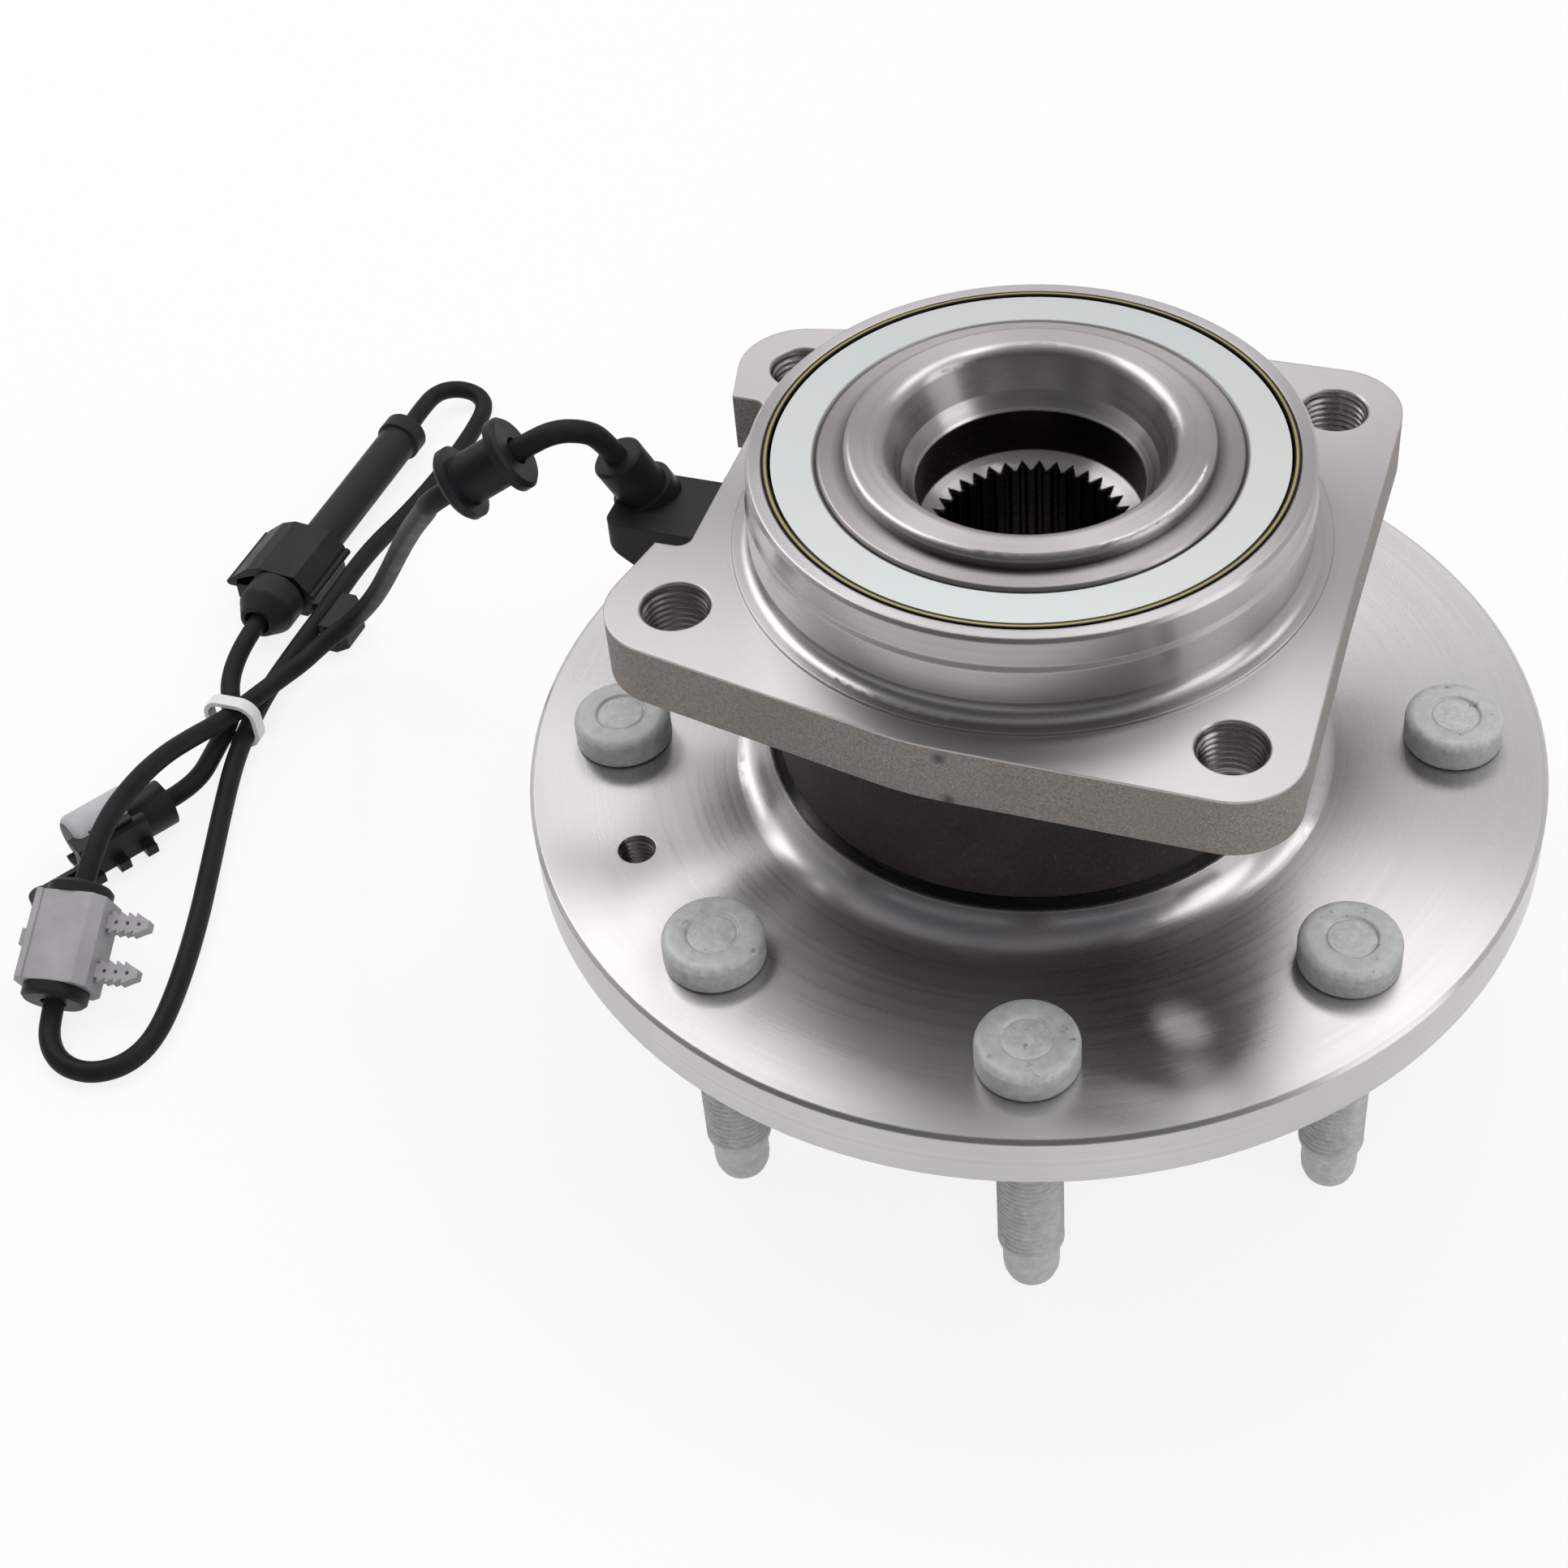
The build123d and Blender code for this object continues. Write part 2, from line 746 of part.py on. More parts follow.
low_loop = [
    (-211.9, -88.9, 3.6),
    (-206.0, -92.7, 2.8),
    (-198.5, -92.6, floor_z),
    (-192.2, -87.8, floor_z),
    (-189.9, -79.3, floor_z),
    (-191.8, -65.4, floor_z),
    (-196.6, -46.0, floor_z),
    (-202.9, -26.5, floor_z),
    (-208.8, -8.5, 2.8),
    (-213.0, 7.0, 4.1),
    (-215.4, 20.5, 4.1),
    (-216.8, 33.0, 3.8),
    (-216.2, 48.0, 4.2),
    (-213.4, 65.0, 7.0),
    (-212.9, 88.0, 6.8),
    (-211.0, 110.0, 3.4),
    (-209.0, 131.0, 2.8),
    (-208.2, 146.5, 3.2),
]
hairpin_centre = (-216.6, 156.5)
hairpin_r = 8.6
sleeve_start = Vector(-225.0, 141.0, 6.6)
sleeve_stop = Vector(-228.8, 43.0, 8.6)
connector_axis = Vector(-0.53, -0.85, 0).normalized()
gland_end = Vector(-221.4, -12.0, 6.4)
returning = [
    (-225.2, 150.3, 6.3),
    tuple(sleeve_start),
    (-225.5, 124.0, 7.0),
    (-226.5, 100.0, 7.5),
    (-227.5, 74.0, 8.2),
    (-228.6, 47.0, 8.5),
    (-227.8, 33.0, 5.4),
    (-221.0, 22.0, 4.1),
    (-219.4, 9.5, 4.5),
    tuple(gland_end - connector_axis * 8.2),
]


def hairpin():
    """Four corners of the tight turn before the sleeve, evenly spread over half a circle."""
    corners = []
    for index in range(4):
        angle = math.radians(22.5 + 45 * index)
        corner_x = hairpin_centre[0] + hairpin_r * math.cos(angle)
        corner_y = hairpin_centre[1] + hairpin_r * math.sin(angle)
        corners.append((corner_x, corner_y, 3.6 + 0.8 * index))
    return corners


def lead_route():
    """Every corner of the cable's route, from the boot to the connector's gland."""
    clip_whole = clip_length + 2 * clip_disc_length
    through_clip = [
        tuple(clip_start - clip_axis * clip_lead_in),
        tuple(clip_start + clip_axis * (clip_whole + clip_lead_out)),
    ]
    points = [tuple(boot_end)] + falling + through_clip + low_loop + hairpin()
    return points + returning + [tuple(gland_end)]


def corner_radii(points):
    """Largest arc at each corner that leaves a short straight on both runs."""
    radii = []
    for before, here, after in zip(points, points[1:], points[2:]):
        first = Vector(*here) - Vector(*before)
        second = Vector(*after) - Vector(*here)
        half_turn = math.radians(first.get_angle(second)) / 2
        radii.append(0.45 * min(first.length, second.length) / math.tan(half_turn))
    return radii


def sensor_cable():
    """Round cable along the route, straight runs joined by tangent arcs."""
    points = lead_route()
    radii = corner_radii(points)
    path = FilletPolyline(*points, radius=radii)
    print("cable radii", [round(radius, 1) for radius in radii])
    start = Plane(origin=path @ 0, z_dir=path % 0)
    tube = sweep(start * Circle(cable_r), path=path)
    print("cable length", round(path.length, 1), "section x length", round(math.pi * cable_r ** 2 * path.length))
    print("cable volume", round(tube.volume))
    return tube


def on_lead(origin, direction, up=(0, 0, 1)):
    """Local frame on the lead: Z along the cable, Y upward, X to the cable's left."""
    side = Vector(*up).cross(Vector(*direction))
    return Plane(origin=origin, x_dir=side, z_dir=direction).location


def round_grommet(flange_r, body_r, length, flange_length):
    """Rubber grommet with a flange at each end and a groove between them."""
    hole = cable_r + bore_gap
    return turned(
        (hole, 0),
        (flange_r - 0.8, 0),
        (flange_r, 0.8),
        (flange_r, flange_length),
        (body_r, flange_length),
        (body_r, length - flange_length),
        (flange_r, length - flange_length),
        (flange_r, length - 0.8),
        (flange_r - 0.8, length),
        (hole, length),
    )


def cable_grommet():
    """Grommet on the falling stretch of the cable."""
    above = Vector(*falling[3])
    direction = (Vector(*falling[4]) - above).normalized()
    middle = above + direction * grommet_from_corner
    place = on_lead(middle - direction * (grommet_length / 2), direction)
    return place * round_grommet(grommet_flange_r, grommet_body_r, grommet_length, grommet_flange_length)


def clip_place():
    """Frame at the clip's first disc, Z along the cable."""
    return on_lead(clip_start, clip_axis)


def clip_grommet():
    """Rubber core of the grey clip, with a disc at each end."""
    length = clip_length + 2 * clip_disc_length
    return clip_place() * round_grommet(clip_disc_r, clip_disc_r - 2.2, length, clip_disc_length)


def clip_pin():
    """Flat fir-tree pin along X: barbs on both edges, three holes and a blunt nose."""
    pitch = (clip_pin_length - 2.5) / clip_pin_barbs
    edge = [(0, clip_pin_core)]
    for index in range(clip_pin_barbs):
        start = 1.0 + pitch * index
        edge += [(start, clip_pin_core), (start, clip_pin_barb)]
    edge += [(clip_pin_length - 1.5, clip_pin_core), (clip_pin_length, clip_pin_core * 0.6)]
    outline = edge + [(along, -across) for along, across in reversed(edge)]
    pin = extrude(Plane.XZ * make_face(Polyline(*outline, close=True)), amount=clip_pin_thickness / 2, both=True)
    for index in range(3):
        hole = Pos(2.4 + 2.8 * index, 0, 0) * Rot(90, 0, 0) * Cylinder(clip_pin_hole_r, clip_pin_thickness + 1)
        pin -= hole
    return pin


def cable_clip():
    """Grey nylon clip closed round its grommet, with two fir-tree pins on one side."""
    core = clip_disc_r - 2.2 + fit_gap
    middle = clip_disc_length + clip_length / 2
    side = clip_width / 2
    long = clip_length - 2 * fit_gap
    body = Pos(0, 0, middle) * Box(clip_width, clip_height, long)
    body = chamfer(body.edges().filter_by(Axis.Z), 2.6)
    rib = Pos(2.2 - side, 0, middle) * Box(1.6, clip_height + 0.8, long)
    strap = Pos(-side, 0, middle) * Box(3.2, clip_strap_height, clip_strap_length)
    clip = body + rib + strap
    for end in (-1, 1):
        clip += Pos(side - 0.2, 0, middle + end * clip_pin_spacing / 2) * clip_pin()
    return clip_place() * (clip - rod(core, clip_length + 10))


def sleeve_place():
    """Frame at the sleeve's collar end, Z towards the bracket."""
    return on_lead(sleeve_start, (sleeve_stop - sleeve_start).normalized())


def rubber_sleeve():
    """Thick rubber sleeve over the cable with a collar at its free end."""
    sleeve = turned(
        (sleeve_bore_r, 0),
        (sleeve_collar_r - 1.0, 0),
        (sleeve_collar_r, 1.0),
        (sleeve_collar_r, sleeve_collar_length),
        (sleeve_r, sleeve_collar_length + 0.4),
        (sleeve_r, sleeve_length),
        (sleeve_bore_r, sleeve_length),
    )
    return sleeve_place() * sleeve


def bracket_place():
    """Frame at the bracket's near end, beside the end of the sleeve."""
    return sleeve_place() * Pos(0, 0, sleeve_length + 0.3)


def bracket_outline(inset=0.0):
    """Faceted cover outline across the cable, moved inward by the inset."""
    left = inset - bracket_left
    right = bracket_right - inset
    top = bracket_rise - inset
    return make_face(Polyline(
        (left, -0.5),
        (left + 0.8, 2.2),
        (left + 6.0, top - 1.4),
        (left + 10.0, top),
        (right - 4.0, top - 0.8),
        (right - 0.6, 2.2),
        (right, -0.5),
        close=True,
    ))


def bracket_cover():
    """Upper half of the bracket: a faceted shell with a rib inside and a bead along each edge."""
    middle = (bracket_right - bracket_left) / 2
    hollow_width = bracket_left + bracket_right - 2 * bracket_wall
    shell = extrude(bracket_outline(), amount=bracket_length)
    shell -= Pos(0, 0, -1) * extrude(bracket_outline(bracket_wall), amount=bracket_length + 2)
    shell -= Pos(middle, -2, bracket_length / 2) * Box(hollow_width, 4, bracket_length + 2)
    for rib_x in (0, -bracket_left / 2):
        rib = Pos(rib_x, bracket_rise / 2, bracket_length / 2) * Box(1.5, bracket_rise - 0.6, bracket_length - 4)
        shell += rib & extrude(bracket_outline(), amount=bracket_length)
    for edge_x in (-bracket_left, bracket_right):
        shell += Pos(edge_x, 0.5, 0) * rod(bracket_bead_r, bracket_length)
    return bracket_place() * (shell - rod(bracket_bore_r, bracket_length + 4, -2))


def bracket_base():
    """Lower half of the bracket: trough, low neck under the cable beside it and an open box."""
    top = -0.55
    deep = bracket_drop + top
    middle = (bracket_right - bracket_left) / 2
    tray_width = bracket_left + bracket_right - 2
    tray = Pos(middle, top - deep / 2, bracket_length / 2) * Box(tray_width, deep, bracket_length - 2)
    tray = chamfer(tray.edges().filter_by(Axis.Z).sort_by(Axis.Y)[:2], 2)
    box_x = bracket_reach - bracket_box_width / 2
    box_y = bracket_box_height / 2 - bracket_drop
    box_z = bracket_length + bracket_box_ahead
    neck_start = box_z - bracket_box_length / 2 + 1
    neck_length = bracket_length - 2 - neck_start
    neck_x = (bracket_right + box_x) / 2 - 1
    neck = Pos(neck_x, bracket_neck_rise / 2 - bracket_drop, neck_start + neck_length / 2) * Box(
        box_x - bracket_right + 2, bracket_neck_rise, neck_length
    )
    box = Pos(box_x, box_y, box_z) * Box(bracket_box_width, bracket_box_height, bracket_box_length)
    corner = box.edges().filter_by(Axis.Y).sort_by(Axis.X)[-2:]
    box = chamfer(corner, 2.4)
    hollow = Pos(box_x, box_y + 1.0, box_z + bracket_wall) * Box(
        bracket_box_width - 2 * bracket_wall, bracket_box_height - 2.6, bracket_box_length
    )
    return bracket_place() * (tray + neck + (box - hollow) - rod(bracket_bore_r, bracket_length + 4, -2))


def bracket_grommet():
    """Rubber core of the bracket, its round end standing out towards the bundle."""
    core = bracket_bore_r - fit_gap
    length = bracket_length + bracket_grommet_out
    grommet = turned(
        (sleeve_bore_r, 0),
        (core, 0),
        (core, bracket_length + 0.4),
        (bracket_grommet_r, bracket_length + 0.8),
        (bracket_grommet_r, length - 5.0, 3),
        (core - 1.2, length),
        (sleeve_bore_r, length),
    )
    return bracket_place() * grommet


def cable_tie():
    """Nylon band round the three strands."""
    middle = Vector(-217.7, 17.6, tie_inner_height / 2 + tie_thickness + 0.1)
    place = on_lead(middle, Vector(0.0, -1.0, 0))
    outer = RectangleRounded(
        tie_inner_width + 2 * tie_thickness, tie_inner_height + 2 * tie_thickness, tie_corner_r
    )
    inner = RectangleRounded(tie_inner_width, tie_inner_height, tie_corner_r - tie_thickness)
    band = Pos(0, 0, -tie_width / 2) * extrude(outer - inner, amount=tie_width)
    return place * band


def connector_place():
    """Frame at the gland's cable end, Z towards the mating face."""
    return on_lead(gland_end, connector_axis)


def connector_gland():
    """Ribbed rubber wire seal at the back of the connector."""
    outline = [(0, 0)]
    for index in range(4):
        low = index * gland_length / 4
        outline += [(gland_r - 0.5, low), (gland_r, low + 0.7), (gland_r, low + 1.3)]
    outline += [(gland_r - 0.5, gland_length), (0, gland_length)]
    return connector_place() * turned(*outline)


def connector_housing():
    """Block behind the round shell, with the guide tabs on its open side."""
    low = connector_ring_length
    side = connector_width / 2
    box = Pos(0.5, -0.5, low + connector_length / 2) * Box(connector_width, connector_height, connector_length)
    box = fillet(box.edges().filter_by(Axis.Z), 1.2)
    for along in (2.0, 9.5, 16.5):
        box += Pos(side + 1.4, -connector_height / 2 + 1.6, low + along) * Box(4.0, 2.6, 3.0)
    return box


def connector_body():
    """Black connector housing: ring round the wire seal, block, tabs, strap and lug."""
    low = connector_ring_length
    front = low + connector_length
    ring = rod(connector_ring_r, low + 2, 0.6) - rod(gland_r + fit_gap, gland_length)
    strap_y = strap_thickness / 2 - connector_height / 2 - 0.5
    strap = Pos(strap_x, strap_y, front + strap_length / 2 - 1) * Box(strap_width, strap_thickness, strap_length + 2)
    groove = Pos(strap_x, strap_y + 1.2, front + strap_length / 2) * Box(2.0, strap_thickness, strap_length - 2)
    lug = Pos(strap_x, strap_y, front + strap_length) * Rot(90, 0, 0) * Cylinder(lug_r, strap_thickness)
    lug -= Pos(strap_x, strap_y, front + strap_length) * Rot(90, 0, 0) * Cylinder(1.2, strap_thickness + 1)
    body = ring + (connector_housing() - rod(gland_r + fit_gap, gland_length)) + (strap - groove) + lug
    mouth = Pos(-shell_offset, shell_rise, 0) * rod(shell_r - shell_wall, connector_length, low + 1)
    return connector_place() * (body - shell_solid(fit_gap, 0) - mouth)


def shell_solid(grow, wall):
    """Round shell beside the housing; grow widens it for its seat, wall hollows it out."""
    end = shell_start + shell_length
    outer = turned(
        (0, shell_start - grow),
        (shell_r + grow, shell_start - grow),
        (shell_r + grow, end + grow, 2.2),
        (0, end + grow),
    )
    if wall:
        outer -= rod(shell_r - wall, shell_length, shell_start + wall)
    return Pos(-shell_offset, shell_rise, 0) * outer


def connector_shell():
    """Light grey round shell that takes the mating half, open at its front."""
    return connector_place() * shell_solid(0, shell_wall)


def connector_latch():
    """Latch bar that bridges the housing's block."""
    top = connector_height / 2 - 0.5
    low = connector_ring_length
    bar = Pos(4.1, top + fit_gap + 0.7, low + 12.0) * Box(3.8, 1.4, 3.2)
    arm = Pos(4.1, top + fit_gap + 0.5, low + 7.2) * Box(1.8, 1.0, 8.0)
    return connector_place() * (bar + arm)


parts = {
    "hub_spindle": hub_spindle(),
    "wheel_studs": wheel_studs(),
    "inner_race_inboard": inner_race(),
    "inner_race_outboard": bearing_side(inner_race()),
    "rollers_inboard": rollers(),
    "rollers_outboard": bearing_side(rollers()),
    "cage_inboard": cage(),
    "cage_outboard": bearing_side(cage()),
    "tone_ring": tone_ring(),
    "inboard_slinger": slinger(inboard_seal_bore_r),
    "outboard_slinger": bearing_side(slinger(outboard_seal_bore_r)),
    "inboard_seal_case": seal_case(inboard_seal_bore_r),
    "outboard_seal_case": bearing_side(seal_case(outboard_seal_bore_r)),
    "inboard_seal_lip": seal_lip(inboard_seal_bore_r),
    "outboard_seal_lip": bearing_side(seal_lip(outboard_seal_bore_r)),
    "outer_ring": outer_ring(),
    "sensor_body": sensor_body(),
    "sensor_boot": sensor_boot(),
    "sensor_o_ring": sensor_o_ring(),
    "sensor_bushing": sensor_bushing(),
    "sensor_screw": sensor_screw(),
    "sensor_cable": sensor_cable(),
    "cable_grommet": cable_grommet(),
    "clip_grommet": clip_grommet(),
    "cable_clip": cable_clip(),
    "rubber_sleeve": rubber_sleeve(),
    "bracket_cover": bracket_cover(),
    "bracket_base": bracket_base(),
    "bracket_grommet": bracket_grommet(),
    "cable_tie": cable_tie(),
    "connector_gland": connector_gland(),
    "connector_body": connector_body(),
    "connector_shell": connector_shell(),
    "connector_latch": connector_latch(),
}

os.makedirs("parts", exist_ok=True)
for name, part in parts.items():
    export_step(part, f"parts/{name}.step")
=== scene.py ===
import math
import bpy
from mathutils import Matrix, Vector


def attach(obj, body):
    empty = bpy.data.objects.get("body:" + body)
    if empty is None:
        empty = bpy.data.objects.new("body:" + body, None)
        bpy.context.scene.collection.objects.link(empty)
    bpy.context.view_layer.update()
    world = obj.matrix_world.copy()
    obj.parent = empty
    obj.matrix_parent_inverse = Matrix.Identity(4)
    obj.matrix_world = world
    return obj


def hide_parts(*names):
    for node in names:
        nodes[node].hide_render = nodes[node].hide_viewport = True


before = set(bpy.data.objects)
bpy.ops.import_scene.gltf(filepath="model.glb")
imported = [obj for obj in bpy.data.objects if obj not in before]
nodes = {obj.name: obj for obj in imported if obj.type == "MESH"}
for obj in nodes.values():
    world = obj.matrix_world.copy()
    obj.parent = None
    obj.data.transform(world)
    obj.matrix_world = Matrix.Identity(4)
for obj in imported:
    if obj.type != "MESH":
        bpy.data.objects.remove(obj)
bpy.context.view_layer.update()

scene = bpy.context.scene
scene.view_settings.view_transform = "Standard"
MM = 0.001


# Camera: the photograph's place and direction. Its optical axis lies right of and above the middle.
camera_place = Vector((0.1133, -0.4113, 0.48755))
camera_right = Vector((0.9573, 0.2861, -0.0418)).normalized()
camera_back = Vector((0.2355, -0.6879, 0.6865))
camera_back = (camera_back - camera_right * camera_right.dot(camera_back)).normalized()
camera_data = bpy.data.cameras.new("camera")
camera_data.sensor_width = 36.0
camera_data.lens = 62.80
camera_data.shift_x = -0.0817
camera_data.shift_y = -0.0581
camera_data.clip_end = 50.0
camera = bpy.data.objects.new("camera", camera_data)
scene.collection.objects.link(camera)
camera_matrix = Matrix((camera_right, camera_back.cross(camera_right), camera_back)).transposed().to_4x4()
camera_matrix.translation = camera_place
camera.matrix_world = camera_matrix
scene.camera = camera


# Sensor lead: the cable's route from the sensor's boot to the plug, in millimetres
route = [
    (-90.24, 0.04, 131.17), (-92.47, -1.39, 136.77), (-95.1, -3.7, 139.8), (-99.5, -7.4, 141.8),
    (-104.5, -10.9, 140.2), (-125.2, -19.5, 127.5), (-131.6, -11.2, 117.2), (-145.2, 4.8, 97.4),
    (-160.6, 22.5, 73.6), (-175.4, 37.8, 49.6), (-186.6, 47.2, 31.8), (-195.1, 52.8, 19.8),
    (-200.7, 52.6, 13.6), (-206.2, 46.4, 10.6), (-208.4, 39.6, 9.9), (-212.1, 31.7, 9.6),
    (-215.3, 23.7, 9.5), (-218.2, 14.5, 10.2), (-220.6, 4, 13.8), (-221.6, -8, 18.4), (-222.3, -19.5, 20.8),
    (-222.6, -33, 21.4), (-220.62, -47.2, 19.49), (-215.75, -81.64, 4.71), (-211.9, -88.9, 3.6),
    (-206, -92.7, 2.8), (-198.5, -92.6, 2.6), (-192.2, -87.8, 2.6), (-189.9, -79.3, 2.6),
    (-191.8, -65.4, 2.6), (-196.6, -46, 2.6), (-202.9, -26.5, 2.6), (-208.8, -8.5, 2.8), (-213, 7, 4.1),
    (-215.4, 20.5, 4.1), (-216.8, 33, 3.8), (-216.2, 48, 4.2), (-213.4, 65, 7), (-212.9, 88, 6.8),
    (-211, 110, 3.4), (-209, 131, 2.8), (-208.2, 146.5, 3.2), (-208.65, 159.79, 3.6),
    (-213.31, 164.45, 4.4), (-219.89, 164.45, 5.2), (-224.55, 159.79, 6), (-225.2, 150.3, 6.3),
    (-225, 141, 6.6), (-225.5, 124, 7), (-226.5, 100, 7.5), (-227.5, 74, 8.2), (-228.6, 47, 8.5),
    (-227.8, 33, 5.4), (-221, 22, 4.1), (-219.4, 9.5, 4.5), (-217.06, -5.04, 6.4), (-221.4, -12, 6.4),
]
cable_r = 2.5
cable_data = bpy.data.curves.new("lead_cable", "CURVE")
cable_data.dimensions = "3D"
spline = cable_data.splines.new("NURBS")
spline.points.add(len(route) - 1)
for point, corner in zip(spline.points, route):
    point.co = (corner[0] * MM, corner[1] * MM, corner[2] * MM, 1.0)
    point.radius = cable_r * MM
spline.order_u = 3
spline.use_endpoint_u = True
spline.resolution_u = 10
cable_data.bevel_depth = 1.0
cable_data.bevel_resolution = 6
cable_data.use_fill_caps = True
cable = bpy.data.objects.new("lead_cable", cable_data)
scene.collection.objects.link(cable)
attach(cable, "fixed")
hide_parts("sensor_cable")


class Nodes:
    """A node tree with short calls for the nodes used here."""

    def __init__(self, tree):
        self.tree = tree

    def add(self, kind, **settings):
        node = self.tree.nodes.new("ShaderNode" + kind)
        for key, value in settings.items():
            setattr(node, key, value)
        return node

    def link(self, output, target):
        self.tree.links.new(output, target)

    def feed(self, value, target):
        """Puts a colour, a number or another node's output into a socket."""
        if isinstance(value, tuple):
            target.default_value = (*value, 1.0)
        elif isinstance(value, (int, float)):
            target.default_value = value
        else:
            self.link(value, target)

    def math(self, operation, first, second=0.0, clamp=False):
        node = self.add("Math", operation=operation, use_clamp=clamp)
        self.feed(first, node.inputs[0])
        self.feed(second, node.inputs[1])
        return node.outputs[0]

    def spread(self, value, low, high, to_low=0.0, to_high=1.0, ends="LINEAR"):
        """Value moved from one range to another."""
        node = self.add("MapRange", interpolation_type=ends)
        for socket, number in zip(("From Min", "From Max", "To Min", "To Max"), (low, high, to_low, to_high)):
            node.inputs[socket].default_value = number
        self.link(value, node.inputs["Value"])
        return node.outputs["Result"]

    def mix(self, factor, first, second):
        """Two colours mixed by a factor; each is a link or a fixed colour."""
        node = self.add("Mix", data_type="RGBA")
        self.link(factor, node.inputs[0])
        self.feed(first, node.inputs[6])
        self.feed(second, node.inputs[7])
        return node.outputs[2]

    def mix_value(self, factor, first, second):
        """Two numbers mixed by a factor."""
        node = self.add("Mix", data_type="FLOAT")
        self.link(factor, node.inputs[0])
        self.feed(first, node.inputs[2])
        self.feed(second, node.inputs[3])
        return node.outputs[0]

    def all_of(self, first, *others):
        """Mask that holds where each of the masks does."""
        for other in others:
            first = self.math("MULTIPLY", first, other)
        return first

    def over(self, value, limit):
        return self.math("GREATER_THAN", value, limit)

    def under(self, value, limit):
        return self.math("LESS_THAN", value, limit)

    def band(self, value, low, high):
        """Mask that holds between two limits."""
        return self.all_of(self.over(value, low), self.under(value, high))


class Shader(Nodes):
    """A node material round one principled surface."""

    def __init__(self, name, colour, metallic=0.0, roughness=0.5):
        self.material = bpy.data.materials.new(name)
        self.material.use_nodes = True
        super().__init__(self.material.node_tree)
        self.surface = self.tree.nodes["Principled BSDF"]
        self.set(self.surface, "Base Color", (*colour, 1.0))
        self.set(self.surface, "Metallic", metallic)
        self.set(self.surface, "Roughness", roughness)
        self.normal = None

    def set(self, node, socket, value):
        node.inputs[socket].default_value = value

    def place(self):
        return self.add("TexCoord").outputs["Object"]

    def height(self):
        split = self.add("SeparateXYZ")
        self.link(self.place(), split.inputs[0])
        return split.outputs[2]

    def radius(self):
        """Distance from the spin axis."""
        split = self.add("SeparateXYZ")
        self.link(self.place(), split.inputs[0])
        x, y, z = split.outputs
        return self.math("SQRT", self.math("ADD", self.math("MULTIPLY", x, x), self.math("MULTIPLY", y, y)))

    def lathe(self):
        """Coordinates that are the same all round the spin axis: radius and height."""
        join = self.add("CombineXYZ")
        self.link(self.radius(), join.inputs[0])
        self.link(self.height(), join.inputs[2])
        return join.outputs[0]

    def noise(self, scale, detail=2.0, where=None, roughness=0.5):
        node = self.add("TexNoise")
        self.set(node, "Scale", scale)
        self.set(node, "Detail", detail)
        self.set(node, "Roughness", roughness)
        self.link(where if where is not None else self.place(), node.inputs["Vector"])
        return node.outputs["Fac"]

    def shared(self, socket):
        """What now feeds one of the surface's sockets."""
        return self.surface.inputs[socket].links[0].from_socket

    def colour(self, value):
        self.link(value, self.surface.inputs["Base Color"])

    def paint(self, mask, colour, share=1.0):
        """Lays a colour over the present one where a mask holds."""
        if share != 1.0:
            mask = self.math("MULTIPLY", mask, share)
        self.colour(self.mix(mask, self.shared("Base Color"), colour))

    def rough(self, value):
        self.link(value, self.surface.inputs["Roughness"])

    def bump(self, height, distance):
        node = self.add("Bump")
        self.set(node, "Distance", distance)
        self.set(node, "Strength", 1.0)
        self.link(height, node.inputs["Height"])
        if self.normal is not None:
            self.link(self.normal, node.inputs["Normal"])
        self.normal = node.outputs[0]
        self.link(self.normal, self.surface.inputs["Normal"])

    def round_edges(self, radius):
        node = self.add("Bevel", samples=4)
        self.set(node, "Radius", radius)
        self.normal = node.outputs[0]
        self.link(self.normal, self.surface.inputs["Normal"])

    def turned(self):
        """Fine concentric tool marks and the sheen that follows them."""
        self.set(self.surface, "Anisotropic", 0.84)
        self.set(self.surface, "Anisotropic Rotation", 0.25)
        tangent = self.add("Tangent", direction_type="RADIAL", axis="Z")
        self.link(tangent.outputs[0], self.surface.inputs["Tangent"])
        self.bump(self.noise(1900.0, 1.0, self.lathe()), 0.000003)


def turned_steel(name, colour, dark):
    """Bare steel, turned, with faint rings and clouds of a darker tone."""
    shader = Shader(name, colour, 1.0, 0.3)
    rings = shader.spread(shader.noise(900.0, 2.0, shader.lathe()), 0.3, 0.7)
    clouds = shader.spread(shader.noise(22.0, 3.0), 0.35, 0.7)
    tone = shader.mix(shader.math("MULTIPLY", rings, 0.25), colour, dark)
    shader.colour(shader.mix(shader.math("MULTIPLY", clouds, 0.3), tone, dark))
    shader.rough(shader.spread(shader.math("ADD", rings, clouds), 0.0, 2.0, 0.24, 0.34))
    shader.round_edges(0.0005)
    shader.turned()
    return shader


# Hub: plain steel with a dark bore sleeve, black spline, painted shade on the floor of the mouth's notches,
# greyer rolled lip and countersunk mouth
bore_wall_r = 0.0231
bore_wall_outer_r = 0.0236
sleeve_z = (0.1297, 0.1416)
spline_r = 0.0201
spline_top_z = 0.1293
notch_shade_r = 0.0209
notch_shade_z = (0.1290, 0.12952)
lip_z = 0.1425
cone_r = 0.02314
cone_z = (0.12952, 0.1319)

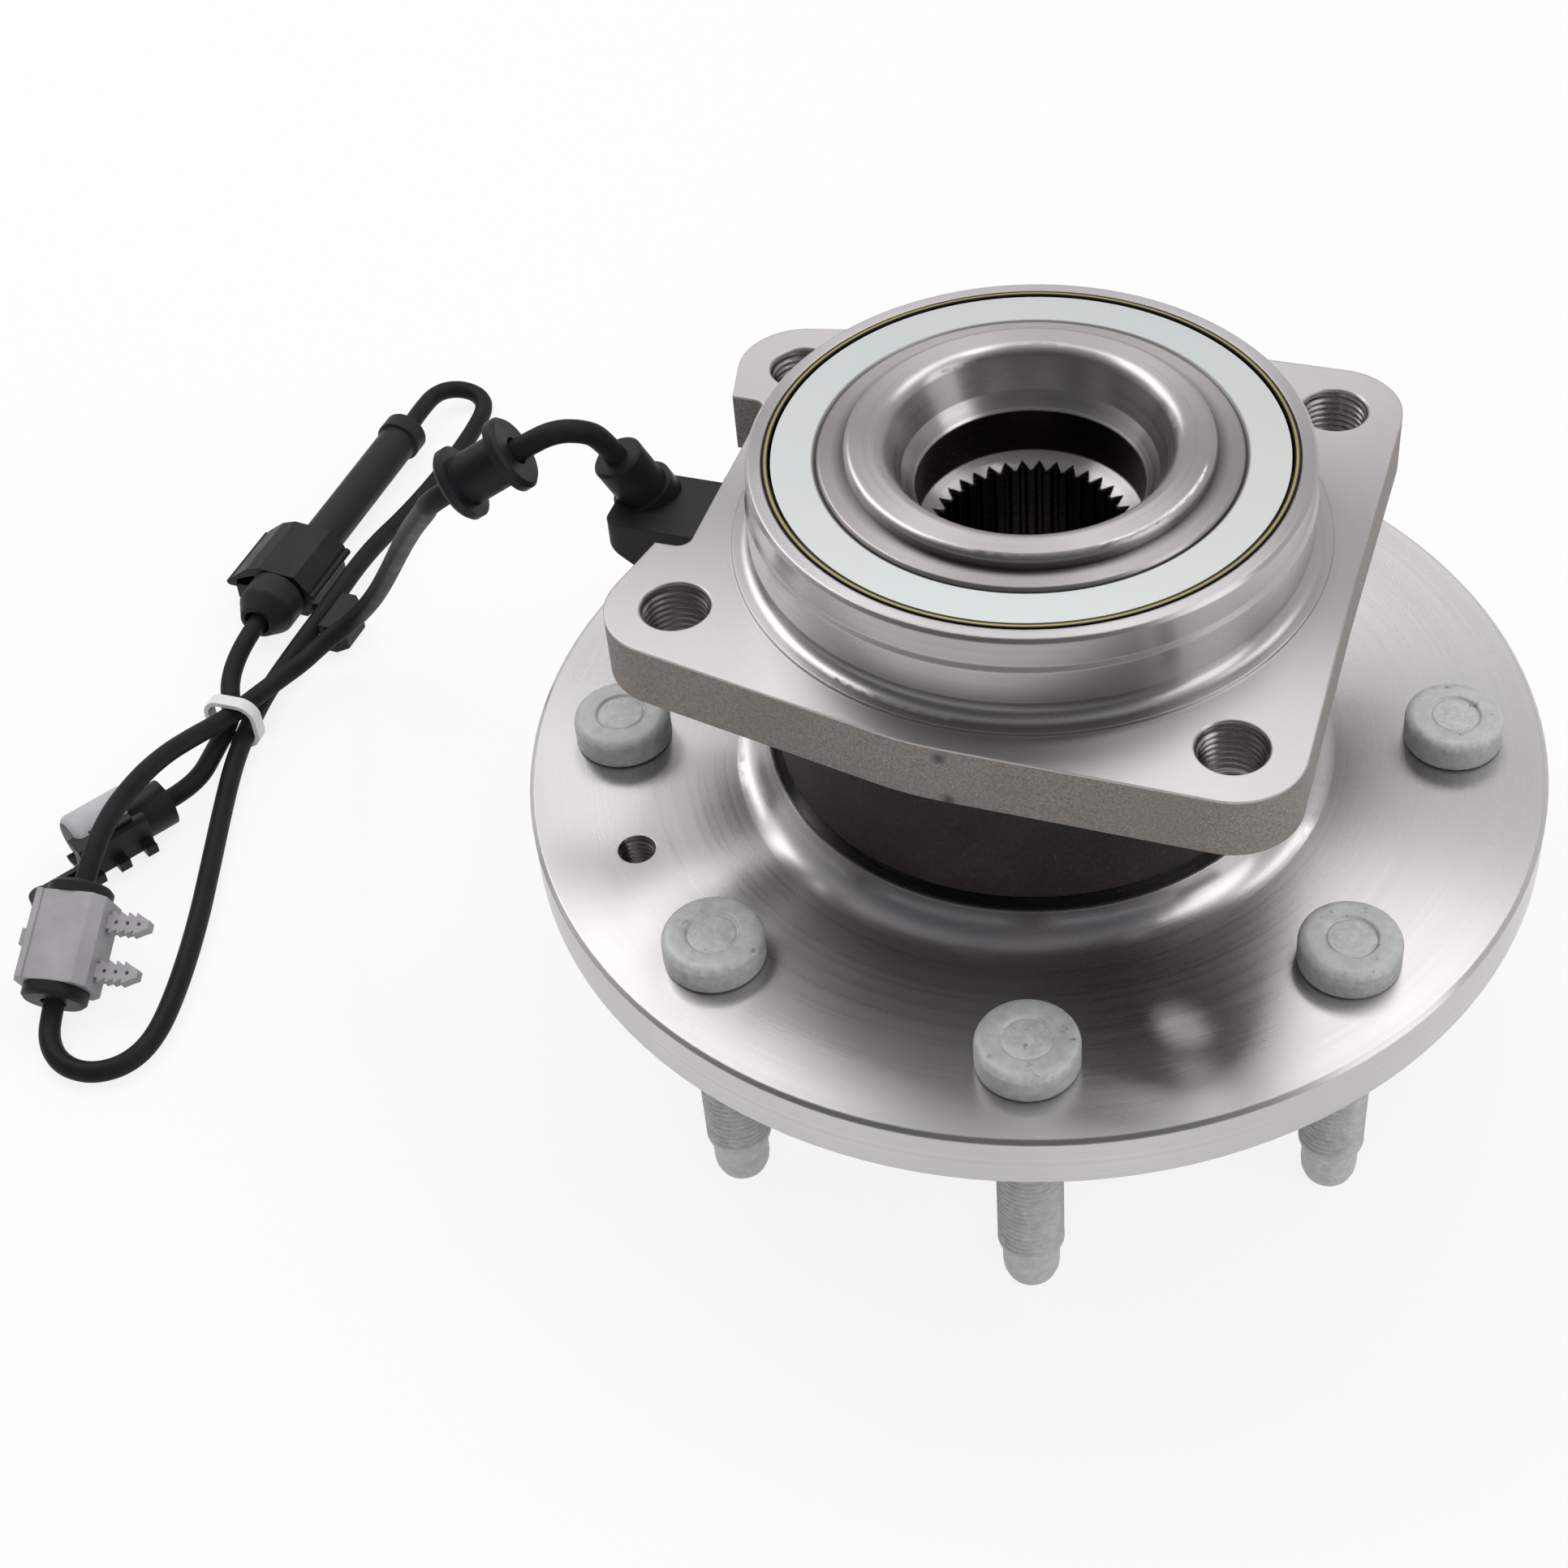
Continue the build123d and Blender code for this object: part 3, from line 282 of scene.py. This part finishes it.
hub = turned_steel("hub_steel", (0.60, 0.58, 0.585), (0.50, 0.48, 0.48))
height = hub.height()
reach = hub.radius()
sleeve = hub.all_of(hub.band(reach, bore_wall_r, bore_wall_outer_r), hub.band(height, *sleeve_z))
toothed = hub.all_of(hub.under(reach, spline_r), hub.under(height, spline_top_z))
hub.paint(hub.math("MAXIMUM", sleeve, toothed), (0.07, 0.06, 0.055))
# Painted shade: the ledge seen down inside the mouth's notches is painted near black
hub.paint(hub.all_of(hub.under(reach, notch_shade_r), hub.band(height, *notch_shade_z)), (0.03, 0.03, 0.03))
hub.paint(hub.over(height, lip_z), (0.36, 0.338, 0.328), 0.75)
hub.paint(hub.all_of(hub.under(reach, cone_r), hub.band(height, *cone_z)), (0.30, 0.285, 0.275))

# Bearing rings and rollers, with a painted shadow on the race beside the rolled lip
race_top_z = 0.1495
lip_shadow_r = (0.0368, 0.0396)

races = turned_steel("race_steel", (0.38, 0.36, 0.352), (0.31, 0.29, 0.28))
# Painted shadow: a dark ring on the races' top face next to the rolled lip, fading outwards
groove = races.spread(races.radius(), *lip_shadow_r, 0.85, 0.0)
races.paint(races.all_of(groove, races.over(races.height(), race_top_z)), (0.06, 0.05, 0.045))

# Outer ring: machined faces, a forged skin round the flange and a heat-tinted dark body below it
flange_z = (0.1150, 0.1303)
body_top_z = 0.1158
burr_z = 0.12945
land_z = 0.1302
skin_r = 0.0625
flat_face = 0.6
dents = ((-0.0006, -0.0662, 0.1272), (0.0010, -0.0662, 0.1166))

ring = turned_steel("ring_steel", (0.49, 0.47, 0.475), (0.41, 0.39, 0.39))
machined = ring.shared("Base Color")
height = ring.height()
facing = ring.add("SeparateXYZ")
ring.link(ring.add("TexCoord").outputs["Normal"], facing.inputs[0])
upright = ring.under(ring.math("ABSOLUTE", facing.outputs[2]), flat_face)
underside = ring.under(facing.outputs[2], -flat_face)
forged = ring.all_of(
    ring.band(height, *flange_z), ring.over(ring.radius(), skin_r), ring.math("MAXIMUM", upright, underside),
)
body = ring.under(height, body_top_z)
coated = ring.math("MAXIMUM", forged, body)


def dented(shader, spots):
    """Mask of small dents with ragged rims."""
    marks = None
    for spot in spots:
        gap = shader.add("VectorMath", operation="DISTANCE")
        shader.link(shader.place(), gap.inputs[0])
        gap.inputs[1].default_value = spot
        ragged = shader.math("MULTIPLY", shader.noise(420.0, 3.0), 0.0022)
        mark = shader.spread(shader.math("ADD", gap.outputs["Value"], ragged), 0.0017, 0.0030, 1.0, 0.0)
        marks = mark if marks is None else shader.math("MAXIMUM", marks, mark)
    return shader.math("MULTIPLY", marks, 0.8, clamp=True)


grain = ring.noise(2100.0, 6.0, roughness=0.75)
dent = dented(ring, dents)
speckle = ring.mix(ring.spread(grain, 0.36, 0.64), (0.165, 0.143, 0.128), (0.39, 0.355, 0.33))
patch = ring.spread(ring.noise(60.0, 3.0), 0.35, 0.7)
speckle = ring.mix(ring.math("MULTIPLY", patch, 0.35), speckle, (0.22, 0.195, 0.172))
speckle = ring.mix(dent, speckle, (0.05, 0.042, 0.038))
speckle = ring.mix(ring.all_of(ring.over(height, burr_z), forged), speckle, (0.62, 0.56, 0.55))

smoke = ring.spread(ring.noise(38.0, 4.0), 0.38, 0.66)
flecks = ring.spread(ring.noise(1300.0, 4.0, roughness=0.7), 0.52, 0.75)
heat = ring.math("ADD", height, ring.math("MULTIPLY", ring.noise(30.0, 2.0), 0.008))
brown_tint = ring.math("MULTIPLY", ring.spread(heat, 0.1085, 0.1135), 0.8)
blue_tint = ring.math("MULTIPLY", ring.spread(heat, 0.1125, 0.1165), 0.85)
oxide = ring.mix(smoke, (0.020, 0.017, 0.018), (0.042, 0.026, 0.020))
oxide = ring.mix(brown_tint, oxide, (0.085, 0.045, 0.022))
oxide = ring.mix(blue_tint, oxide, (0.045, 0.060, 0.075))
oxide = ring.mix(ring.math("MULTIPLY", flecks, 0.45), oxide, (0.13, 0.09, 0.075))

ring.colour(ring.mix(body, ring.mix(forged, machined, speckle), oxide))
ring.link(ring.math("SUBTRACT", 1.0, coated), ring.surface.inputs["Metallic"])
face_rough = ring.mix_value(ring.over(height, land_z), 0.34, ring.shared("Roughness"))
ring.rough(ring.mix_value(coated, face_rough, 0.6))
ring.bump(ring.math("MULTIPLY", ring.math("SUBTRACT", grain, dent), forged), 0.00022)
ring.bump(ring.math("MULTIPLY", flecks, body), 0.00008)

# Zinc-plated studs, worn on the heads' faces and noses and scuffed at the heads' rims
worn_below_z = 0.0772
rim_z = (0.0755, 0.0770)

stud = Shader("stud_zinc", (0.42, 0.435, 0.43), 0.2, 0.5)
height = stud.height()
mottle = stud.spread(stud.noise(420.0, 4.0), 0.35, 0.65)
wear = stud.spread(stud.noise(700.0, 5.0, roughness=0.7), 0.50, 0.62)
scuff = stud.spread(stud.noise(260.0, 6.0, roughness=0.8), 0.60, 0.66)
stud.colour(stud.mix(mottle, (0.45, 0.462, 0.458), (0.55, 0.558, 0.553)))
stud.paint(stud.all_of(wear, stud.under(height, worn_below_z)), (0.70, 0.71, 0.70), 0.45)
stud.paint(stud.all_of(scuff, stud.spread(height, *rim_z)), (0.12, 0.12, 0.12), 0.7)
stud.rough(stud.spread(mottle, 0.0, 1.0, 0.44, 0.55))
stud.bump(stud.noise(1500.0, 3.0), 0.00004)

# Pale zinc annulus with painted shade on its inner edge, next to the race
annulus_shade_r = (0.0429, 0.0437)

annulus = Shader("annulus_zinc", (0.56, 0.58, 0.57), 0.45, 0.34)
tint = annulus.spread(annulus.noise(16.0, 2.0), 0.45, 0.75)
annulus.colour(annulus.mix(tint, (0.55, 0.58, 0.575), (0.58, 0.575, 0.54)))
# Painted shade along the inner edge, where the annulus meets the race
annulus.paint(annulus.spread(annulus.radius(), *annulus_shade_r, 0.85, 0.0), (0.10, 0.085, 0.07))
annulus.bump(annulus.noise(2600.0, 2.0, annulus.lathe()), 0.000006)

# Yellow case of the seal, dark at both edges of its rim
rim_middle_r = 0.0526
rim_half_width = (0.00018, 0.00030)

chromate = Shader("yellow_chromate", (0.30, 0.245, 0.07), 0.7, 0.35)
chromate.colour(chromate.mix(chromate.noise(60.0, 3.0), (0.27, 0.225, 0.075), (0.36, 0.31, 0.13)))
from_middle = chromate.math("ABSOLUTE", chromate.math("SUBTRACT", chromate.radius(), rim_middle_r))
chromate.paint(chromate.spread(from_middle, *rim_half_width), (0.03, 0.026, 0.02))
chromate.bump(chromate.noise(2600.0, 2.0, chromate.lathe()), 0.000008)


def moulded(name, dark, light, roughness, grain, depth, specular=0.22):
    """Rubber or plastic with patches of two tones and a fine moulded grain."""
    shader = Shader(name, dark, 0.0, roughness)
    patches = shader.spread(shader.noise(120.0, 4.0), 0.35, 0.7)
    shader.colour(shader.mix(patches, dark, light))
    shader.rough(shader.spread(patches, 0.0, 1.0, roughness - 0.06, roughness + 0.08))
    shader.set(shader.surface, "Specular IOR Level", specular)
    shader.round_edges(0.0004)
    shader.bump(shader.noise(grain, 3.0), depth)
    return shader


# Rubber, cable jacket and plastics of the seal, the sensor and the lead
rubber = moulded("seal_rubber", (0.010, 0.010, 0.011), (0.017, 0.017, 0.019), 0.5, 1800.0, 0.00003)
jacket = moulded("cable_jacket", (0.012, 0.012, 0.013), (0.019, 0.019, 0.021), 0.5, 2600.0, 0.00002, 0.1)
black_nylon = moulded("black_moulding", (0.009, 0.009, 0.010), (0.016, 0.016, 0.018), 0.44, 1500.0, 0.00003)
grey_nylon = moulded("grey_nylon", (0.34, 0.33, 0.34), (0.42, 0.405, 0.42), 0.5, 1300.0, 0.00002)
white_nylon = moulded("white_nylon", (0.74, 0.73, 0.73), (0.82, 0.81, 0.81), 0.45, 1500.0, 0.00003)
pale_plastic = moulded("pale_plastic", (0.43, 0.44, 0.45), (0.50, 0.51, 0.52), 0.45, 1500.0, 0.00002)

# Material of each CAD node that stays in view
finish = {
    "hub_spindle": hub,
    "inner_race_inboard": races,
    "inner_race_outboard": races,
    "rollers_inboard": races,
    "rollers_outboard": races,
    "cage_inboard": races,
    "cage_outboard": races,
    "tone_ring": races,
    "outer_ring": ring,
    "inboard_slinger": annulus,
    "outboard_slinger": annulus,
    "inboard_seal_case": chromate,
    "outboard_seal_case": chromate,
    "inboard_seal_lip": rubber,
    "outboard_seal_lip": rubber,
    "sensor_body": black_nylon,
    "sensor_boot": rubber,
    "sensor_o_ring": rubber,
    "sensor_bushing": stud,
    "sensor_screw": stud,
    "cable_grommet": rubber,
    "clip_grommet": rubber,
    "cable_clip": grey_nylon,
    "rubber_sleeve": rubber,
    "bracket_cover": black_nylon,
    "bracket_base": black_nylon,
    "bracket_grommet": rubber,
    "cable_tie": white_nylon,
    "connector_gland": rubber,
    "connector_body": black_nylon,
    "connector_shell": pale_plastic,
    "connector_latch": black_nylon,
}
for name, shader in finish.items():
    for material_slot in nodes[name].material_slots:
        material_slot.material = shader.material
cable.data.materials.append(jacket.material)


def gathered(name, pieces, shader, body):
    """Smooth-shaded piece from lists of points in millimetres and faces, riding on a CAD body."""
    points = []
    faces = []
    for some_points, some_faces in pieces:
        start = len(points)
        points += [(x * MM, y * MM, z * MM) for x, y, z in some_points]
        faces += [tuple(start + index for index in face) for face in some_faces]
    mesh = bpy.data.meshes.new(name)
    mesh.from_pydata(points, [], faces)
    mesh.validate()
    mesh.materials.append(shader.material)
    for polygon in mesh.polygons:
        polygon.use_smooth = True
    piece = bpy.data.objects.new(name, mesh)
    scene.collection.objects.link(piece)
    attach(piece, body)
    return piece


def threaded(profile, centre, thread, segments=40):
    """Points and faces of a turned form whose thread is a real helix.

    profile is (radius, height) pairs; thread is (low, high, pitch, depth), depth towards the axis.
    """
    low, high, pitch, depth = thread
    steps_per_turn = 8
    slack = 0.01
    rows = []
    for (r_one, z_one), (r_two, z_two) in zip(profile, profile[1:]):
        rows.append((r_one, z_one))
        in_thread = min(z_one, z_two) >= low - slack and max(z_one, z_two) <= high + slack
        if in_thread and abs(z_two - z_one) > pitch:
            count = int(abs(z_two - z_one) / pitch * steps_per_turn)
            for step in range(1, count):
                rows.append((r_one + (r_two - r_one) * step / count, z_one + (z_two - z_one) * step / count))
    rows.append(profile[-1])
    points = []
    for r, z in rows:
        fade = max(0.0, min(1.0, (z - low) / pitch, (high - z) / pitch))
        for index in range(segments):
            share = index / segments
            groove = abs(2 * ((z / pitch - share) % 1.0) - 1)
            here = r - depth * fade * (1 - groove) if low <= z <= high else r
            turn = 2 * math.pi * share
            points.append((centre[0] + here * math.cos(turn), centre[1] + here * math.sin(turn), z))
    faces = []
    for row in range(len(rows) - 1):
        start = row * segments
        for index in range(segments):
            after = (index + 1) % segments
            faces.append((start + index, start + after, start + segments + after, start + segments + index))
    return points, faces


def on_circle(radius, degrees):
    """Point of a circle round the spin axis."""
    turn = math.radians(degrees)
    return (radius * math.cos(turn), radius * math.sin(turn))


# Wheel studs with their threads, noses and ringed heads
stud_count = 8
stud_circle_r = 90
stud_step = 360 / stud_count
first_stud = 13.95
stud_profile = [
    (0.01, 0.0), (1.4, 0.0), (2.8, 0.35), (4.2, 1.2), (5.2, 2.5), (5.8, 4.2), (6.0, 6.0), (6.0, 12.0),
    (6.1, 12.6), (6.9, 13.4), (7.0, 13.8), (7.0, 54.0), (7.0, 57.5), (7.28, 57.8), (7.28, 70.5),
    (9.8, 70.5), (10.2, 70.6), (10.42, 70.85), (10.5, 71.2), (10.5, 71.5), (10.5, 75.7), (10.45, 76.1),
    (10.2, 76.75), (9.8, 77.15), (9.3, 77.38), (8.8, 77.48), (8.5, 77.5), (8.3, 77.5), (5.9, 77.5),
    (5.7, 77.46), (5.5, 77.32), (5.25, 77.02), (5.05, 76.94), (4.85, 76.98), (4.7, 77.12), (4.55, 77.17),
    (4.35, 77.18), (0.3, 77.18), (0.01, 77.18),
]
stud_thread = (13.8, 54.0, 1.5, 0.92)
stud_pieces = []
for index in range(stud_count):
    centre = on_circle(stud_circle_r, first_stud + stud_step * index)
    stud_pieces.append(threaded(stud_profile, centre, stud_thread))
studs = gathered("stud_set", stud_pieces, stud, "hub")
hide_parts("wheel_studs")

# Threads inside the four knuckle holes and the rotor screw's hole
knuckle_hole_r = 6.97
knuckle_thread = (116.1, 129.3, 1.5, 0.85)
knuckle_profile = [(knuckle_hole_r, knuckle_thread[0]), (knuckle_hole_r, knuckle_thread[1])]
knuckle_holes = ((-62.23, -40.41), (-62.23, 40.41), (52.47, -52.47), (52.47, 52.47))
knuckle_pieces = [threaded(knuckle_profile, centre, knuckle_thread) for centre in knuckle_holes]
knuckle_threads = gathered("knuckle_threads", knuckle_pieces, races, "fixed")

rotor_hole_r = 3.98
rotor_hole_turn = first_stud + stud_step * 4.5
rotor_thread_form = (57.7, 70.2, 1.25, 0.75)
rotor_profile = [(rotor_hole_r, rotor_thread_form[0]), (rotor_hole_r, rotor_thread_form[1])]
rotor_centre = on_circle(stud_circle_r, rotor_hole_turn)
rotor_piece = threaded(rotor_profile, rotor_centre, rotor_thread_form, segments=32)
rotor_thread = gathered("rotor_thread", [rotor_piece], races, "hub")

# Countersunk mouth of the splined bore, notched between its teeth
teeth = 36
tooth_step = 360 / teeth
mouth_outer_r = 23.15
mouth_inner_r = 18.62
mouth_top_z = 131.7
mouth_low_z = 129.55
mouth_foot_z = 129.5
notch_apex_r = 20.8
notch_share = 0.446
mouth_shares = (0.0, 0.15, 0.30, notch_share, 0.50, 1 - notch_share, 0.70, 0.85)
mouth_slope = (mouth_top_z - mouth_low_z) / (mouth_outer_r - mouth_inner_r)
rings = {"outer": [], "middle": [], "edge": [], "foot": [], "outer_foot": []}
for index in range(teeth):
    for share in mouth_shares:
        rise = max(0.0, 1.0 - min(share, 1.0 - share) / notch_share)
        edge_r = mouth_inner_r + (notch_apex_r - mouth_inner_r) * rise
        degrees = tooth_step * (index + share)
        for row, r in (("outer", mouth_outer_r), ("middle", (edge_r + mouth_outer_r) / 2), ("edge", edge_r)):
            rings[row].append((*on_circle(r, degrees), mouth_low_z + mouth_slope * (r - mouth_inner_r)))
        for row, r in (("foot", edge_r), ("outer_foot", mouth_outer_r)):
            rings[row].append((*on_circle(r, degrees), mouth_foot_z))
ring_pairs = (
    ("outer", "middle"), ("middle", "edge"), ("edge", "foot"),
    ("foot", "outer_foot"), ("outer_foot", "outer"),
)
mouth_pieces = []
for first, second in ring_pairs:
    count = len(rings[first])
    strip = [(i, count + i, count + (i + 1) % count, (i + 1) % count) for i in range(count)]
    mouth_pieces.append((rings[first] + rings[second], strip))
bore_mouth = gathered("bore_mouth", mouth_pieces, hub, "hub")

# Floor, white to the camera and to reflections, with the object's shadow
floor_reach = 4.0
floor_glow = 0.84
floor_mesh = bpy.data.meshes.new("floor")
floor_corners = [
    (-floor_reach, -floor_reach, 0), (floor_reach, -floor_reach, 0), (floor_reach, floor_reach, 0),
    (-floor_reach, floor_reach, 0),
]
floor_mesh.from_pydata(floor_corners, [], [(0, 1, 2, 3)])
floor = bpy.data.objects.new("floor", floor_mesh)
scene.collection.objects.link(floor)
paper = Shader("floor_paper", (0.86, 0.86, 0.86), 0.0, 0.9)
glow = paper.add("Emission")
glow.inputs["Strength"].default_value = 1.0
ray = paper.add("LightPath")
seen = paper.math("MAXIMUM", ray.outputs["Is Camera Ray"], ray.outputs["Is Glossy Ray"])
seen = paper.math("MAXIMUM", seen, ray.outputs["Is Transmission Ray"])
blend = paper.add("MixShader")
paper.link(paper.math("MULTIPLY", seen, floor_glow), blend.inputs[0])
paper.link(paper.surface.outputs[0], blend.inputs[1])
paper.link(glow.outputs[0], blend.inputs[2])
paper.link(blend.outputs[0], paper.tree.nodes["Material Output"].inputs["Surface"])
floor_mesh.materials.append(paper.material)

# World: a pale tent, darker low down in front, with the open slit and the dark figure behind the
# camera that polished steel reflects. The camera itself sees white.
world = bpy.data.worlds.new("studio")
scene.world = world
world.use_nodes = True
sky = Nodes(world.node_tree)
ray_direction = sky.add("TexCoord").outputs["Generated"]


def along(direction):
    """How far a ray leans towards a direction."""
    node = sky.add("VectorMath", operation="DOT_PRODUCT")
    node.inputs[1].default_value = direction
    sky.link(ray_direction, node.inputs[0])
    return node.outputs["Value"]


def soft(value, low, high, to_low=0.0, to_high=1.0):
    """Value moved from one range to another, with soft ends."""
    return sky.spread(value, low, high, to_low, to_high, ends="SMOOTHSTEP")


slit_direction = (-0.588, 0.81, 0)
slit_lean = 0.69
figure_direction = Vector((0.20, -0.69, 0.69)).normalized()

tent = sky.mix(soft(along((0, 1, 0)), -0.75, 0.35), (0.12, 0.125, 0.135), (0.80, 0.80, 0.81))
slit_offset = sky.math("ABSOLUTE", sky.math("SUBTRACT", along(slit_direction), slit_lean))
slit_side = soft(along((1, 0, 0)), -0.42, -0.26, 1.0, 0.0)
slit = sky.all_of(soft(slit_offset, 0.015, 0.07, 1.0, 0.0), slit_side)
tent = sky.mix(slit, tent, (0.03, 0.03, 0.04))
tent = sky.mix(soft(along(figure_direction), 0.982, 0.996), tent, (0.26, 0.18, 0.14))
tent_light = sky.tree.nodes["Background"]
sky.link(tent, tent_light.inputs["Color"])
tent_light.inputs["Strength"].default_value = 0.8
white = sky.add("Background")
white.inputs["Color"].default_value = (1.0, 1.0, 1.0, 1.0)
white.inputs["Strength"].default_value = 1.0
backdrop = sky.add("MixShader")
sky.link(sky.add("LightPath").outputs["Is Camera Ray"], backdrop.inputs[0])
sky.link(tent_light.outputs[0], backdrop.inputs[1])
sky.link(white.outputs[0], backdrop.inputs[2])
sky.link(backdrop.outputs[0], sky.tree.nodes["World Output"].inputs["Surface"])


def lamp(name, place, aim, size, power):
    """Soft rectangular lamp at a place, facing a point."""
    data = bpy.data.lights.new(name, "AREA")
    data.shape = "RECTANGLE"
    data.size, data.size_y = size
    data.energy = power
    holder = bpy.data.objects.new(name, data)
    holder.location = place
    holder.rotation_euler = (Vector(aim) - Vector(place)).to_track_quat("-Z", "Y").to_euler()
    scene.collection.objects.link(holder)
    return holder


lamp("key", (-1.0, 0.5, 1.3), (0, 0, 0.08), (1.0, 1.0), 9.0)
lamp("side", (1.3, -0.1, 0.9), (0, 0, 0.08), (0.7, 1.2), 4.0)
lamp("top", (0.1, 0.9, 1.5), (0, 0, 0.1), (1.4, 0.5), 5.0)
lamp("overhead", (0.17, 0.54, 1.77), (0, 0, 0.1), (0.16, 0.16), 1.6)
fill = lamp("fill", (0.3, -1.1, 1.3), (0, 0, 0.08), (1.2, 1.2), 9.0)
fill.visible_glossy = False
